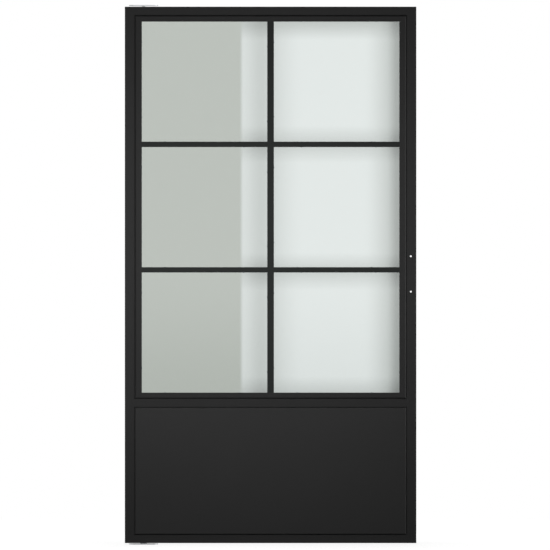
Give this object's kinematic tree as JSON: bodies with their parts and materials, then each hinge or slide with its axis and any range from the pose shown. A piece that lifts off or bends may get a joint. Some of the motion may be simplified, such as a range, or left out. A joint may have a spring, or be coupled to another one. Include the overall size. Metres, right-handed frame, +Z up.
{
  "type": "glazed pivot door",
  "caption": "Black steel-framed glass door leaf with a grid of glazed panes over a flat lower panel, hung on floor and head pivots.",
  "frame": {"origin": "on the finished floor, below the middle of the leaf", "axes": "+X across the leaf from the pivot side to the handle side, +Y through the leaf from its front face to its back face, +Z up"},
  "size_m": [1.095, 0.04, 2.028],
  "materials": {
    "black_powder_coat": "satin",
    "tinted_glass": "gloss",
    "seal_rubber": "matte",
    "spacer_rubber": "matte",
    "stainless_steel": "satin",
    "bronze": "satin",
    "zinc_plated_steel": "satin",
    "honeycomb_core": "matte"
  },
  "bodies": {
    "pivot_fittings": {"floor_plate": "stainless_steel", "floor_spindle": "stainless_steel", "thrust_washer": "bronze", "head_plate": "stainless_steel", "head_bush": "bronze"},
    "leaf": {"hinge_stile": "black_powder_coat", "handle_stile": "black_powder_coat", "top_rail": "black_powder_coat", "mid_rail": "black_powder_coat", "bottom_rail": "black_powder_coat", "glazing_bar_left": "black_powder_coat", "glazing_bar_right": "black_powder_coat", "glazing_bar_head": "black_powder_coat", "glazing_bar_sill": "black_powder_coat", "upright_bar": "black_powder_coat", "cross_bar_upper_left": "black_powder_coat", "cross_bar_upper_right": "black_powder_coat", "cross_bar_lower_left": "black_powder_coat", "cross_bar_lower_right": "black_powder_coat", "beads_top_left": "black_powder_coat", "beads_top_right": "black_powder_coat", "beads_middle_left": "black_powder_coat", "beads_middle_right": "black_powder_coat", "beads_bottom_left": "black_powder_coat", "beads_bottom_right": "black_powder_coat", "panel_front_tray": "black_powder_coat", "panel_back_tray": "black_powder_coat", "pane_top_left": "tinted_glass", "pane_top_right": "tinted_glass", "pane_middle_left": "tinted_glass", "pane_middle_right": "tinted_glass", "pane_bottom_left": "tinted_glass", "pane_bottom_right": "tinted_glass", "seal_top_left": "seal_rubber", "seal_top_right": "seal_rubber", "seal_middle_left": "seal_rubber", "seal_middle_right": "seal_rubber", "seal_bottom_left": "seal_rubber", "seal_bottom_right": "seal_rubber", "glazing_spacers": "spacer_rubber", "panel_spacers": "spacer_rubber", "pin_spring": "stainless_steel", "bottom_pivot_bush": "bronze", "handle_sleeves": "zinc_plated_steel", "bottom_pivot_block": "zinc_plated_steel", "top_pivot_block": "zinc_plated_steel", "pivot_screws": "zinc_plated_steel", "bead_screws": "zinc_plated_steel", "glazing_screws": "zinc_plated_steel", "panel_core": "honeycomb_core"},
    "sprung_pin": {"top_pin": "stainless_steel"}
  },
  "joints": [
    {"name": "leaf_swing", "type": "hinge", "parent": "pivot_fittings", "child": "leaf", "pos_m": [-0.4775, 0, 0], "axis": [0, 0, 1], "range_deg": [-90, 90]},
    {"name": "pin_slide", "type": "slide", "parent": "leaf", "child": "sprung_pin", "axis": [0, 0, 1], "range_m": [-0.007, 0], "stiffness_N_per_m": 800, "springref_m": 0.006, "deforming": ["pin_spring"]}
  ]
}
